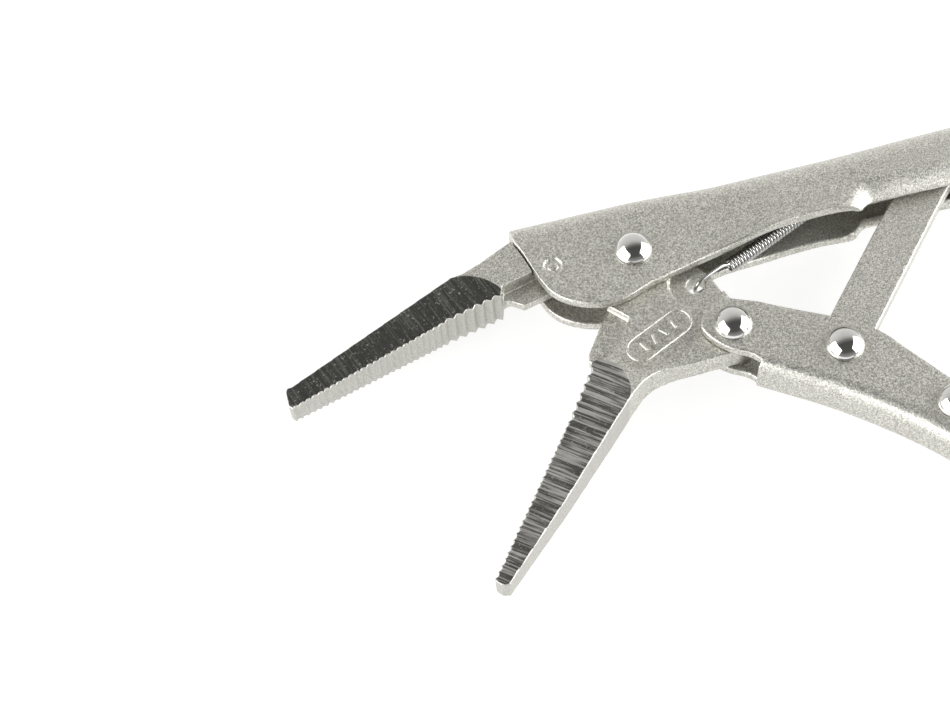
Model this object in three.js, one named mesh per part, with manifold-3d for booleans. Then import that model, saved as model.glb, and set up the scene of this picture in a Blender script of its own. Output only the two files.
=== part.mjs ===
// Long-nose locking pliers, lying on one side and fully open.
// Millimetres. +X runs back along the upper handle, +Y points from the lower handle to the upper one,
// and +Z is the common direction of all the rivets. Every piece is drawn about the main pivot, and the
// finished assembly is moved so that the origin is the bottom centre of its bounding box.

import * as THREE from 'three';
import { mergeVertices } from 'three/addons/utils/BufferGeometryUtils.js';
import Module from 'manifold-3d';

const wasm = await Module();
wasm.setup();

// ---------------------------------------------------------------- driving dimensions

const NOSE_REACH = 75.4;        // main pivot to the jaw tips, along X
const HANDLE_REACH = 128;       // main pivot to the rear end of the upper handle
const LOWER_REACH = 116;        // jaw-handle rivet to the rear end of the lower handle

const TANG = 5.6;               // thickness of the forged pieces between the handle plates
const SIDE_GAP = 0.3;           // gap on each side of a forged piece, and under each rivet head
const FIT_GAP = 0.3;            // gap between neighbouring pieces that do not turn on each other
const BORE_GAP = 0.2;           // radial clearance of a rivet, pin or screw in its hole

const UPPER_SHEET = 2.2;        // sheet of the upper handle
const LOWER_SHEET = 2.0;        // sheet of the lower handle
const UPPER_FLARE = 1.7;        // extra half width where the upper handle opens for the link
const LOWER_CORNER = 3.0;       // outer bend radius of the lower handle

const RIVET_RADIUS = 2.5;
const RIVET_HEAD_RADIUS = 3.85;
const RIVET_HEAD_HEIGHT = 3.1;
const JAW_PIN_RADIUS = 1.4;
const JAW_PIN_CRATER = 2.1;     // radius of the shallow punch mark around the pin

const NOSE_ROOT_THICKNESS = 9.2;
const NOSE_TIP_THICKNESS = 5.2;
const CUTTER_THICKNESS = 2.2;   // the thin wire-cutter blades beside the pivot
const FINE_TEETH = 25;
const COARSE_TEETH = 6;
const FINE_DEPTH = 0.5;
const COARSE_DEPTH = 0.85;

const LINK_LENGTH = 51.8;       // link rivet to the centre of the link's round tip
const LINK_SIDE_GAP = 0.7;      // from the link, and from the release lever, to each plate
const LINK_TIP_RADIUS = 4.2;

const SCREW_RADIUS = 4.0;
const SCREW_HEIGHT = 5.5;       // screw axis above the main pivot
const SCREW_PLAY = 1.6;         // open pivot: link tip to screw tip at rest
const KNOB_RADIUS = 8.4;
const KNOB_LENGTH = 14;
const KNOB_STANDOFF = 10;       // thread that shows between handle and knob
const KNOB_FLUTES = 18;

const SPRING_RADIUS = 1.6;      // outer radius of the coil
const SPRING_WIRE = 0.8;        // wire diameter
const SPRING_HOLE = 1.9;        // radius of the hole that the front hook sits in
const SPRING_LUG = 3;           // thickness of the jaw around that hole

// Turn of each linkage piece at the open rest pose. The jaw and the lower handle are drawn as they lie
// when the jaws are closed, the link is drawn along X.
const JAW_OPEN = THREE.MathUtils.degToRad(41.5);
const HANDLE_OPEN = THREE.MathUtils.degToRad(-53.6);
const LINK_OPEN = THREE.MathUtils.degToRad(47.7);

// ---------------------------------------------------------------- pivots, locked pose

const JAW_HANDLE_PIVOT = new THREE.Vector2(-4.2, -26.1);    // from the main pivot, jaws closed
const LINK_PIVOT = new THREE.Vector2(20, 9.5);              // from the jaw-handle rivet
const LEVER_PIVOT = new THREE.Vector2(43.9, 12);            // from the jaw-handle rivet
const SPRING_EYE = new THREE.Vector2(1.5, -14.2);           // hole in the moving jaw, jaws closed
const SPRING_ANCHOR = new THREE.Vector2(46, 5.8);           // tab inside the upper handle
const JAW_PIN = new THREE.Vector2(-16.8, 0.8);

const ORIGIN = new THREE.Vector2(0, 0);
const turned = (point, angle) => point.clone().rotateAround(ORIGIN, angle);
const jawHandleRest = turned(JAW_HANDLE_PIVOT, JAW_OPEN);
const linkRest = turned(LINK_PIVOT, HANDLE_OPEN).add(jawHandleRest);
const linkTipRest = turned(new THREE.Vector2(LINK_LENGTH, 0), LINK_OPEN).add(linkRest);
const springEyeRest = turned(SPRING_EYE, JAW_OPEN);

const tangHalf = TANG / 2;
const plateInside = tangHalf + SIDE_GAP;
const upperHalf = plateInside + UPPER_SHEET;
const lowerHalf = plateInside + LOWER_SHEET;
const linkThickness = 2 * (plateInside - LINK_SIDE_GAP);

// ---------------------------------------------------------------- materials

const steel = (color, roughness, metalness) => new THREE.MeshStandardMaterial({ color, roughness, metalness });
const satinNickel = steel(0xb4b2ab, 0.42, 0.9);
const darkGroundSteel = steel(0x8f8e89, 0.5, 0.85);
const polishedRivet = steel(0xd4d4d2, 0.12, 1);
const springSteel = steel(0xc4c4c0, 0.25, 1);
const threadedSteel = steel(0xa6a49d, 0.38, 0.9);

// ---------------------------------------------------------------- geometry helpers

// Turns a closed three.js geometry into a solid.
function solid(geometry) {
  const bare = new THREE.BufferGeometry();
  bare.setAttribute('position', geometry.getAttribute('position'));
  bare.setIndex(geometry.getIndex());
  const welded = mergeVertices(bare, 1e-4);
  return new wasm.Manifold(new wasm.Mesh({
    numProp: 3,
    vertProperties: new Float32Array(welded.getAttribute('position').array),
    triVerts: new Uint32Array(welded.getIndex().array),
  }));
}

// Turns a solid into a named mesh.
function piece(name, body, material) {
  const { vertProperties, triVerts } = body.getMesh();
  const geometry = new THREE.BufferGeometry();
  geometry.setAttribute('position', new THREE.BufferAttribute(new Float32Array(vertProperties), 3));
  geometry.setIndex(new THREE.BufferAttribute(new Uint32Array(triVerts), 1));
  geometry.computeVertexNormals();
  const mesh = new THREE.Mesh(geometry, material);
  mesh.name = name;
  return mesh;
}

const unite = (bodies) => bodies.reduce((sum, body) => sum.add(body));
const cutAll = (body, tools) => tools.reduce((rest, tool) => rest.subtract(tool), body);
const smooth = (x, from, to) => THREE.MathUtils.smoothstep(x, from, to);

// A flat-sided piece: a side outline spanning z from low to high.
function slab(shape, low, high, curveSegments = 8) {
  const geometry = new THREE.ExtrudeGeometry(shape, { depth: high - low, bevelEnabled: false, curveSegments });
  return solid(geometry.translate(0, 0, low));
}

const midSlab = (shape, thickness, curveSegments) => slab(shape, -thickness / 2, thickness / 2, curveSegments);

function polygon(points) {
  return new THREE.Shape(points.map(([x, y]) => new THREE.Vector2(x, y)));
}

function disc(centre, radius) {
  return new THREE.Shape().absarc(centre.x, centre.y, radius, 0, 2 * Math.PI);
}

// A hole or a round post along Z.
function bore(centre, radius, low = -20, high = 20, sides = 24) {
  const geometry = new THREE.CylinderGeometry(radius, radius, high - low, sides);
  geometry.rotateX(Math.PI / 2).translate(centre.x, centre.y, (low + high) / 2);
  return solid(geometry);
}

// The outline of a strap that wraps two circles.
function strap(centreA, radiusA, centreB, radiusB) {
  const along = Math.atan2(centreB.y - centreA.y, centreB.x - centreA.x);
  const lean = Math.acos((radiusA - radiusB) / centreA.distanceTo(centreB));
  const shape = new THREE.Shape();
  shape.absarc(centreA.x, centreA.y, radiusA, along + lean, along - lean + 2 * Math.PI, false);
  shape.absarc(centreB.x, centreB.y, radiusB, along - lean, along + lean, false);
  return shape;
}

// Points of a row of triangular teeth from one end to the other, with valleys cut to the given depth.
function toothRow(from, to, count, depth) {
  const start = new THREE.Vector2(...from);
  const step = new THREE.Vector2(...to).sub(start).divideScalar(count);
  const inward = new THREE.Vector2(-step.y, step.x).setLength(depth);
  const points = [];
  for (let i = 0; i < count; i += 1) {
    const peak = start.clone().addScaledVector(step, i);
    const valley = peak.clone().addScaledVector(step, 0.5).add(inward);
    points.push(peak.toArray(), valley.toArray());
  }
  return points;
}

// A flat blank bent into a channel: place(u, v, n) puts a point of the blank in space, for u from 0 to 1
// along the handle, v from -1 to 1 around it and n from -0.5 to 0.5 through the sheet.
function bentSheet(alongSteps, aroundSteps, place) {
  const blank = new THREE.BoxGeometry(1, 2, 1, alongSteps, aroundSteps, 1);
  const position = blank.getAttribute('position');
  const point = new THREE.Vector3();
  for (let i = 0; i < position.count; i += 1) {
    point.fromBufferAttribute(position, i);
    point.copy(place(point.x + 0.5, point.y, point.z));
    position.setXYZ(i, point.x, point.y, point.z);
  }
  return solid(blank);
}

// The thickness of a jaw against X, as a solid that is very tall in Y.
function thicknessGauge(stations) {
  const near = stations.map(([x, thickness]) => [x, thickness / 2]);
  const far = stations.map(([x, thickness]) => [x, -thickness / 2]).reverse();
  const geometry = new THREE.ExtrudeGeometry(polygon([...near, ...far]), { depth: 200, bevelEnabled: false });
  return solid(geometry.translate(0, 0, -100).rotateX(Math.PI / 2));
}

// ---------------------------------------------------------------- upper handle

const handleTop = (x) => 13.9 - 1.3 * smooth(x, 0, 28) + 0.8 * smooth(x, 40, 75) - tubeDrop * smooth(x, 100, 112);
const TUBE_RADIUS = SCREW_RADIUS + 2 * BORE_GAP + UPPER_SHEET;
const tubeDrop = 13.4 - SCREW_HEIGHT - TUBE_RADIUS;
const CURL_LENGTH = 5.4;        // the part of each leg that curls inward behind the link opening
const FRONT_LEG = 9;            // the same part where it still hangs straight down
const SLOT_CURL = THREE.MathUtils.degToRad(55);
const TUBE_CURL = THREE.MathUtils.degToRad(86);

// The middle of the sheet and its outward normal in one cross-section, for v from -1 to 1.
function upperSection(x, v) {
  const side = v > 0 ? -1 : 1;
  const around = Math.abs(v);
  const openHalf = upperHalf + UPPER_FLARE * smooth(x, 16, 30) + 0.2 * smooth(x, 47, 54);
  const half = THREE.MathUtils.lerp(openHalf, TUBE_RADIUS, smooth(x, 100, 112)) - UPPER_SHEET / 2;
  const arcCentre = handleTop(x) - half - UPPER_SHEET / 2;
  const legEnd = -3 + 6.3 * smooth(x, 40, 50) + (SCREW_HEIGHT - 3.3) * smooth(x, 80, 112);
  const curl = SLOT_CURL * smooth(x, 43, 51) + (TUBE_CURL - SLOT_CURL) * smooth(x, 80, 112);
  const tubeCurlLength = TUBE_CURL * (TUBE_RADIUS - UPPER_SHEET / 2);
  const slotLength = THREE.MathUtils.lerp(FRONT_LEG, CURL_LENGTH, smooth(x, 40, 50));
  const curlLength = THREE.MathUtils.lerp(slotLength, tubeCurlLength, smooth(x, 80, 112));
  const ARC_SHARE = 0.5;
  const LEG_SHARE = 1 / 12;
  if (around <= ARC_SHARE) {
    const angle = (around / ARC_SHARE) * (Math.PI / 2);
    const normal = new THREE.Vector2(Math.cos(angle), side * Math.sin(angle));
    return { y: arcCentre + half * normal.x, z: half * normal.y, normal };
  }
  if (around <= ARC_SHARE + LEG_SHARE) {
    const share = (around - ARC_SHARE) / LEG_SHARE;
    return { y: THREE.MathUtils.lerp(arcCentre, legEnd, share), z: side * half, normal: new THREE.Vector2(0, side) };
  }
  const share = (around - ARC_SHARE - LEG_SHARE) / (1 - ARC_SHARE - LEG_SHARE);
  const angle = curl * share;
  const drop = curl > 0.01 ? (curlLength / curl) * Math.sin(angle) : curlLength * share;
  const inward = curl > 0.01 ? (curlLength / curl) * (1 - Math.cos(angle)) : 0;
  const normal = new THREE.Vector2(-Math.sin(angle), side * Math.cos(angle));
  return { y: legEnd - drop, z: side * (half - inward), normal };
}

const HANDLE_FRONT = -23.2;

// The side outline that trims the bent blank; grow moves its front and lower edges outward.
function upperOutline(grow = 0) {
  const shape = new THREE.Shape();
  shape.moveTo(HANDLE_REACH, 30);
  shape.lineTo(HANDLE_FRONT - grow, 30);
  shape.lineTo(HANDLE_FRONT - grow, 8.8);
  shape.bezierCurveTo(-21 - grow, 4, -21 - grow, -0.5, -19 - grow, -4.6 - grow);
  shape.bezierCurveTo(-17 - grow, -8.6 - grow, -11, -11 - grow, -7, -10.9 - grow);
  shape.bezierCurveTo(-3, -10.8 - grow, -1.5, -9.4 - grow, 2, -8.5 - grow);
  shape.bezierCurveTo(12, -6.2 - grow, 24, -3 - grow, 36, -2.7 - grow);
  shape.bezierCurveTo(42, -2.4 - grow, 48, -2.6 - grow, 54, -5.5 - grow);
  shape.lineTo(HANDLE_REACH, -5.5 - grow);
  return shape;
}

function buildUpperHandle() {
  const blankStart = HANDLE_FRONT - 1;
  const blankLength = HANDLE_REACH + 1 - blankStart;
  const channel = bentSheet(32, 20, (u, v, n) => {
    const x = blankStart + blankLength * u;
    const { y, z, normal } = upperSection(x, v);
    return new THREE.Vector3(x, y + n * UPPER_SHEET * normal.x, z + n * UPPER_SHEET * normal.y);
  });
  const trimmed = channel.intersect(midSlab(upperOutline(), 40));
  const tabTop = handleTop(SPRING_ANCHOR.x) - UPPER_SHEET / 2;
  const tab = midSlab(polygon([
    [SPRING_ANCHOR.x - 2.4, tabTop],
    [SPRING_ANCHOR.x - 2.4, SPRING_ANCHOR.y - 1.4],
    [SPRING_ANCHOR.x - 0.9, SPRING_ANCHOR.y - 1.4],
    [SPRING_ANCHOR.x - 0.9, tabTop],
  ]), 3.2);
  const crater = (side) => bore(JAW_PIN, JAW_PIN_CRATER, side * upperHalf - 0.4, side * upperHalf + 0.4);
  return cutAll(unite([trimmed, tab]), [
    bore(ORIGIN, RIVET_RADIUS + BORE_GAP),
    bore(JAW_PIN, JAW_PIN_RADIUS + BORE_GAP),
    crater(1),
    crater(-1),
  ]);
}

// ---------------------------------------------------------------- jaws

// The two cutter blades meet on this line when the jaws are closed.
const cutterLine = (x) => 1.57 + 0.2456 * x;
const BOSS_RADIUS = 7.5;
const noseThickness = [
  [-NOSE_REACH - 1, NOSE_TIP_THICKNESS],
  [-34, NOSE_ROOT_THICKNESS],
];

function buildFixedJaw() {
  const bottomTip = [-NOSE_REACH + 0.8, -16.4];
  const knee = [-41.2, -6.2];
  const root = [-28.7, -3.2];
  const tangTop = handleTop(-16) - upperHalf + 0.6;
  const nose = polygon([
    ...toothRow(bottomTip, knee, FINE_TEETH, FINE_DEPTH),
    ...toothRow(knee, root, COARSE_TEETH, COARSE_DEPTH),
    root,
    [-27.9, -0.7],
    [-20.8, 1],
    [-16, 2.2],
    [-16, tangTop],
    [-23, tangTop + 0.4],
    [-26.1, 8.2],
    [-30.9, 5.9],
    [-35, 4.4],
    [-37.7, 4.1],
    [-NOSE_REACH + 1.4, -11.3],
    [-NOSE_REACH + 0.4, -11.4],
    [-NOSE_REACH, -12.2],
    [-NOSE_REACH, -15.4],
  ]);
  const tang = new THREE.Shape();
  tang.moveTo(-18.3, cutterLine(-18.3));
  tang.absarc(0, 0, BOSS_RADIUS + 2 * FIT_GAP, Math.PI * 1.016, Math.PI * 0.72, true);
  tang.lineTo(-5, tangTop);
  tang.lineTo(-20, tangTop);
  tang.lineTo(-20, 1);
  const blade = polygon([
    [-28.2, -2],
    [-26.4, -2.8],
    [-24.3, cutterLine(-24.3)],
    [-17.5, cutterLine(-17.5)],
    [-17.5, 2.5],
    [-28, 0.5],
  ]);
  const gauge = thicknessGauge([...noseThickness, [0, NOSE_ROOT_THICKNESS]]);
  const shoulder = upperOutline(FIT_GAP);
  return cutAll(unite([midSlab(nose, 12).intersect(gauge), midSlab(tang, TANG), midSlab(blade, CUTTER_THICKNESS)]), [
    slab(shoulder, tangHalf, 10),
    slab(shoulder, -10, -tangHalf),
    bore(JAW_PIN, JAW_PIN_RADIUS + BORE_GAP),
  ]);
}

function buildMovingJaw() {
  const topTip = [-NOSE_REACH + 1, -16.95];
  const knee = [-40.1, -10.5];
  const root = [-27.3, -7.5];
  const edge = (x) => cutterLine(x) - 1.2 * FIT_GAP;
  const body = new THREE.Shape();
  const teeth = [
    ...toothRow(root, knee, COARSE_TEETH, COARSE_DEPTH),
    ...toothRow(knee, topTip, FINE_TEETH, FINE_DEPTH),
  ];
  body.setFromPoints([
    [-12.8, edge(-12.8)],
    [-12.8, -7.3],
    [-22.6, -9.3],
    [-24.6, -7.8],
    [-26.1, -6.9],
    ...teeth,
    topTip,
    [-NOSE_REACH + 0.6, -17.3],
    [-NOSE_REACH + 0.6, -18.9],
    [-NOSE_REACH + 1.4, -20],
  ].map(([x, y]) => new THREE.Vector2(x, y)));
  body.lineTo(-53.7, -19.4);
  body.lineTo(-30.2, -18);
  body.bezierCurveTo(-23, -17.4, -21, -18.3, -17.4, -21.5);
  body.lineTo(-8.6, -28.9);
  body.lineTo(JAW_HANDLE_PIVOT.x, JAW_HANDLE_PIVOT.y);
  body.lineTo(SPRING_EYE.x - 1, SPRING_EYE.y);
  body.lineTo(0, 0);
  body.lineTo(-6, edge(-6));
  const blade = polygon([
    [-26, -7.4],
    [-24.9, -5.5],
    [-23.6, edge(-23.6)],
    [-11, edge(-11)],
    [-11, -8.5],
    [-22.6, -9.8],
  ]);
  const eyeRadius = 5.1;
  const lugRadius = 3.7;
  const straps = [
    strap(ORIGIN, BOSS_RADIUS, SPRING_EYE, lugRadius),
    strap(ORIGIN, BOSS_RADIUS, JAW_HANDLE_PIVOT, eyeRadius),
    strap(SPRING_EYE, lugRadius, JAW_HANDLE_PIVOT, eyeRadius - 1.2),
  ].map((shape) => midSlab(shape, TANG));
  const gauge = thicknessGauge([...noseThickness, [-27, 8.6], [-17, TANG], [20, TANG]]);
  const recess = 5.7;
  return cutAll(unite([midSlab(body, 12).intersect(gauge), midSlab(blade, CUTTER_THICKNESS), ...straps]), [
    bore(SPRING_EYE, recess, SPRING_LUG / 2, 10),
    bore(SPRING_EYE, recess, -10, -SPRING_LUG / 2),
    bore(SPRING_EYE, SPRING_HOLE, -20, 20, 24),
    bore(ORIGIN, RIVET_RADIUS + BORE_GAP),
    bore(JAW_HANDLE_PIVOT, RIVET_RADIUS + BORE_GAP),
  ]);
}

// ---------------------------------------------------------------- lower handle

const WEB_FRONT = 9.6;          // where the lower handle's web starts behind the jaw-handle rivet

// Height of the web's outer face along the lower handle, jaws locked.
const webCurve = new THREE.CatmullRomCurve3([
  [0, -7.6], [12, -3.5], [28, 1.3], [46, 4.5], [62, 4.2], [80, 0.4], [100, -5.4], [LOWER_REACH + 4, -11.2],
].map(([x, y]) => new THREE.Vector3(x, y, 0)));

const webSamples = webCurve.getPoints(160);
function webHeight(x) {
  const next = Math.max(1, webSamples.findIndex((point) => point.x >= x));
  const [before, after] = [webSamples[next - 1], webSamples[next]];
  return THREE.MathUtils.mapLinear(x, before.x, after.x, before.y, after.y);
}

function buildLowerHandle() {
  const length = LOWER_REACH + 2 - WEB_FRONT;
  const WEB_SHARE = 1 / 7;
  const CORNER_SHARE = 5 / 7;
  const channel = bentSheet(26, 14, (u, v, n) => {
    const x = WEB_FRONT - 1 + length * u;
    const side = v > 0 ? 1 : -1;
    const around = Math.abs(v);
    const corner = LOWER_CORNER - 0.7 * (1 - smooth(x, 10, 25));
    const bend = corner - LOWER_SHEET / 2;
    const cornerShare = THREE.MathUtils.clamp((around - WEB_SHARE) / (CORNER_SHARE), 0, 1);
    const angle = cornerShare * (Math.PI / 2);
    const legShare = THREE.MathUtils.clamp((around - WEB_SHARE - CORNER_SHARE) / WEB_SHARE, 0, 1);
    const flat = (lowerHalf - corner) * Math.min(1, around / WEB_SHARE);
    const radial = bend + n * LOWER_SHEET;
    const y = webHeight(x) + corner - radial * Math.cos(angle) + legShare * 20;
    return new THREE.Vector3(x, y, side * (flat + radial * Math.sin(angle)));
  });
  const keep = new THREE.Shape();
  keep.moveTo(WEB_FRONT - 0.6, -1);
  keep.lineTo(WEB_FRONT, -9);
  keep.lineTo(LOWER_REACH, -20);
  keep.lineTo(LOWER_REACH, -5);
  keep.quadraticCurveTo(LOWER_REACH, 0.4, LOWER_REACH - 5, 1.6);
  keep.splineThru([[105, 3.8], [90, 8.4], [75, 12.4], [60, 15.2], [40, 15.9], [28, 16.4]].map(
    ([x, y]) => new THREE.Vector2(x, y),
  ));
  keep.quadraticCurveTo(23.5, 17, 20, 15.7);
  keep.lineTo(13.6, 13.3);
  keep.lineTo(WEB_FRONT - 0.6, 10.8);
  const cheek = new THREE.Shape();
  cheek.absarc(0, 0, 6.3, Math.PI * 0.75, Math.PI * 1.25, false);
  cheek.bezierCurveTo(-2.4, -5.4, 2, -5.6, 5, -3.9);
  cheek.quadraticCurveTo(7, -2.9, 8.6, -3.1);
  cheek.lineTo(WEB_FRONT + 0.8, -1.4);
  cheek.lineTo(20, 4);
  cheek.lineTo(20, 15.7);
  cheek.lineTo(13.6, 13.3);
  cheek.quadraticCurveTo(4, 8.6, 1, 7.6);
  const trimmed = channel.intersect(midSlab(keep, 40));
  return cutAll(unite([
    trimmed,
    slab(cheek, plateInside, lowerHalf),
    slab(cheek, -lowerHalf, -plateInside),
  ]), [
    bore(ORIGIN, RIVET_RADIUS + BORE_GAP),
    bore(LINK_PIVOT, RIVET_RADIUS + BORE_GAP),
    bore(LEVER_PIVOT, RIVET_RADIUS + BORE_GAP),
  ]);
}

// ---------------------------------------------------------------- link and release lever

function buildToggleLink() {
  const bar = new THREE.Shape();
  bar.absarc(0, 0, 5.2, Math.PI * 0.62, Math.PI * 1.62, false);
  bar.lineTo(6, -3.7);
  bar.lineTo(LINK_LENGTH - 6, -3.7);
  bar.absarc(LINK_LENGTH, 0, LINK_TIP_RADIUS, -Math.PI * 0.55, Math.PI * 0.55, false);
  bar.quadraticCurveTo(LINK_LENGTH - 6, 5.4, LINK_LENGTH - 12, 5.6);
  bar.lineTo(9, 5.6);
  bar.quadraticCurveTo(3, 5.6, -1.9, 4.84);
  return midSlab(bar, linkThickness).subtract(bore(ORIGIN, RIVET_RADIUS + BORE_GAP));
}

// Drawn from the lever rivet, tail towards the rear.
function buildReleaseLever() {
  const lever = new THREE.Shape();
  lever.moveTo(-10.6, -3.2);
  lever.quadraticCurveTo(-11.6, -4.4, -10.4, -5.6);
  lever.lineTo(-6, -5);
  lever.quadraticCurveTo(2, -4.4, 8, -2);
  lever.bezierCurveTo(20, 2.6, 34, 0.4, 46, -2.6);
  lever.quadraticCurveTo(54, -4.2, 60, -2.6);
  lever.quadraticCurveTo(62, -1.6, 60.6, 0.4);
  lever.quadraticCurveTo(55, -0.8, 50, 1.2);
  lever.bezierCurveTo(36, 5.6, 20, 6.4, 8, 4.4);
  lever.quadraticCurveTo(0, 4, -4, 0.6);
  return midSlab(lever, linkThickness).subtract(bore(ORIGIN, RIVET_RADIUS + BORE_GAP));
}

// ---------------------------------------------------------------- rivets and pin

// A rivet along Z with a domed head over each plate.
function buildRivet(plateHalf) {
  const seat = plateHalf + SIDE_GAP / 2;
  const sphere = (RIVET_HEAD_RADIUS ** 2 + RIVET_HEAD_HEIGHT ** 2) / (2 * RIVET_HEAD_HEIGHT);
  const spread = Math.asin(RIVET_HEAD_RADIUS / sphere);
  const profile = [];
  for (let i = 0; i <= 5; i += 1) {
    const angle = (spread * i) / 5;
    const height = seat + RIVET_HEAD_HEIGHT - sphere + sphere * Math.cos(angle);
    profile.push(new THREE.Vector2(sphere * Math.sin(angle), height));
  }
  profile.push(new THREE.Vector2(RIVET_RADIUS, seat));
  const lower = profile.map((point) => new THREE.Vector2(point.x, -point.y));
  const geometry = new THREE.LatheGeometry([...lower, ...profile.reverse()], 24);
  return solid(geometry.rotateX(Math.PI / 2));
}

function buildJawPin() {
  const end = upperHalf - 0.1;
  const profile = [
    [0, -end - 0.35],
    [JAW_PIN_RADIUS * 0.7, -end - 0.2],
    [JAW_PIN_RADIUS, -end + 0.3],
    [JAW_PIN_RADIUS, end - 0.3],
    [JAW_PIN_RADIUS * 0.7, end + 0.2],
    [0, end + 0.35],
  ].map(([radius, height]) => new THREE.Vector2(radius, height));
  return solid(new THREE.LatheGeometry(profile, 24).rotateX(Math.PI / 2));
}

// ---------------------------------------------------------------- screw, knob and spring

const screwTip = linkTipRest.x + LINK_TIP_RADIUS + SCREW_PLAY;
const knobFront = HANDLE_REACH + KNOB_STANDOFF;

// Turns a lathe profile of [distance along the screw, radius] about the screw axis.
function screwLathe(profile, sides) {
  const geometry = new THREE.LatheGeometry(profile.map(([x, radius]) => new THREE.Vector2(radius, x)), sides);
  return solid(geometry.rotateZ(-Math.PI / 2).translate(0, SCREW_HEIGHT, 0));
}

function buildScrew() {
  const end = knobFront + KNOB_LENGTH - 4;
  return screwLathe([
    [screwTip, 0],
    [screwTip, SCREW_RADIUS - 1.6],
    [screwTip + 1.6, SCREW_RADIUS],
    [end, SCREW_RADIUS],
    [end, 0],
  ], 32);
}

function buildKnob() {
  const rear = knobFront + KNOB_LENGTH;
  const blank = screwLathe([
    [knobFront, 0],
    [knobFront, KNOB_RADIUS - 2.2],
    [knobFront + 1.6, KNOB_RADIUS],
    [rear - 1.4, KNOB_RADIUS],
    [rear, KNOB_RADIUS - 1.4],
    [rear, 0],
  ], 4 * KNOB_FLUTES);
  const socket = screwLathe([
    [knobFront - 1, 0],
    [knobFront - 1, SCREW_RADIUS + BORE_GAP],
    [rear - 4 + FIT_GAP, SCREW_RADIUS + BORE_GAP],
    [rear - 4 + FIT_GAP, 0],
  ], 32);
  const flutes = Array.from({ length: KNOB_FLUTES }, (_, i) => {
    const angle = ((i + 0.5) / KNOB_FLUTES) * 2 * Math.PI;
    const geometry = new THREE.CylinderGeometry(0.7, 0.7, KNOB_LENGTH + 4, 8);
    geometry.rotateZ(Math.PI / 2).translate(knobFront + KNOB_LENGTH / 2, KNOB_RADIUS + 0.2, 0);
    geometry.translate(0, 0, 0).rotateX(angle).translate(0, SCREW_HEIGHT, 0);
    return solid(geometry);
  });
  return cutAll(blank.subtract(socket), flutes);
}

// The coil is a solid of its outer size, with the two wire hooks on its ends.
function buildSpring() {
  const axis = SPRING_ANCHOR.clone().sub(springEyeRest);
  const reach = axis.length();
  const coilStart = 8.6;
  const coilEnd = reach - 4.4;
  const wire = SPRING_WIRE / 2;
  const along = (points) => new THREE.CatmullRomCurve3(points.map(([x, y, z]) => new THREE.Vector3(x, y, z)));
  const ring = disc(ORIGIN, wire);
  const rod = (curve, steps) => solid(new THREE.ExtrudeGeometry(
    ring, { extrudePath: curve, steps, bevelEnabled: false, curveSegments: 6 },
  ));
  const coil = new THREE.CylinderGeometry(SPRING_RADIUS, SPRING_RADIUS, coilEnd - coilStart, 20);
  coil.rotateZ(Math.PI / 2).translate((coilStart + coilEnd) / 2, 0, 0);
  const hookDepth = SPRING_LUG / 2 + 2 * FIT_GAP + wire;
  const jawHook = rod(along([
    [coilStart + 0.5, 0, SPRING_RADIUS - wire],
    [coilStart - 2, 0, hookDepth],
    [3, 0, hookDepth],
    [0.6, 0, hookDepth - 0.6],
    [-0.2, 0, 0],
    [0.6, 0, -hookDepth + 0.6],
    [2.6, 0, -hookDepth],
  ]), 16);
  const anchorHook = rod(along([
    [coilEnd - 0.5, 0, SPRING_RADIUS - wire],
    [coilEnd + 1, 0, 2.6],
    [reach + 0.2, 0, 2.6],
    [reach + 0.2, 0, 0],
    [reach + 0.2, 0, -1.4],
  ]), 10);
  return { body: unite([solid(coil), jawHook, anchorHook]), turn: Math.atan2(axis.y, axis.x) };
}

// ---------------------------------------------------------------- assembly

const assembly = new THREE.Group();
const pliers = new THREE.Group();
assembly.add(pliers);

// Puts a mesh on a pivot, turned about it.
function mount(mesh, pivot = ORIGIN, turn = 0) {
  mesh.position.set(pivot.x, pivot.y, 0);
  mesh.rotation.z = turn;
  pliers.add(mesh);
}

mount(piece('upper_handle', buildUpperHandle(), satinNickel));
mount(piece('fixed_jaw', buildFixedJaw(), darkGroundSteel));
mount(piece('fixed_jaw_pin', buildJawPin(), satinNickel), JAW_PIN);
mount(piece('main_pivot_rivet', buildRivet(upperHalf), polishedRivet));
mount(piece('moving_jaw', buildMovingJaw(), darkGroundSteel), ORIGIN, JAW_OPEN);

mount(piece('lower_handle', buildLowerHandle(), satinNickel), jawHandleRest, HANDLE_OPEN);
mount(piece('jaw_handle_rivet', buildRivet(lowerHalf), polishedRivet), jawHandleRest);
mount(piece('link_rivet', buildRivet(lowerHalf), polishedRivet), linkRest);
mount(piece('toggle_link', buildToggleLink(), satinNickel), linkRest, LINK_OPEN);

const leverRest = turned(LEVER_PIVOT, HANDLE_OPEN).add(jawHandleRest);
mount(piece('lever_rivet', buildRivet(lowerHalf), polishedRivet), leverRest);
mount(piece('release_lever', buildReleaseLever(), satinNickel), leverRest, HANDLE_OPEN);

mount(piece('adjusting_screw', buildScrew(), threadedSteel));
mount(piece('adjusting_knob', buildKnob(), threadedSteel));

const spring = buildSpring();
mount(piece('tension_spring', spring.body, springSteel), springEyeRest, spring.turn);

const bounds = new THREE.Box3().setFromObject(pliers, true);
const middle = bounds.getCenter(new THREE.Vector3());
pliers.position.set(-middle.x, -middle.y, -bounds.min.z);

export default assembly;
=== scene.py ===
"""Looks for the long-nose locking pliers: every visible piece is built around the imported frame."""

import math

import bmesh
import bpy
import numpy as np
from mathutils import Matrix, Vector


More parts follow.
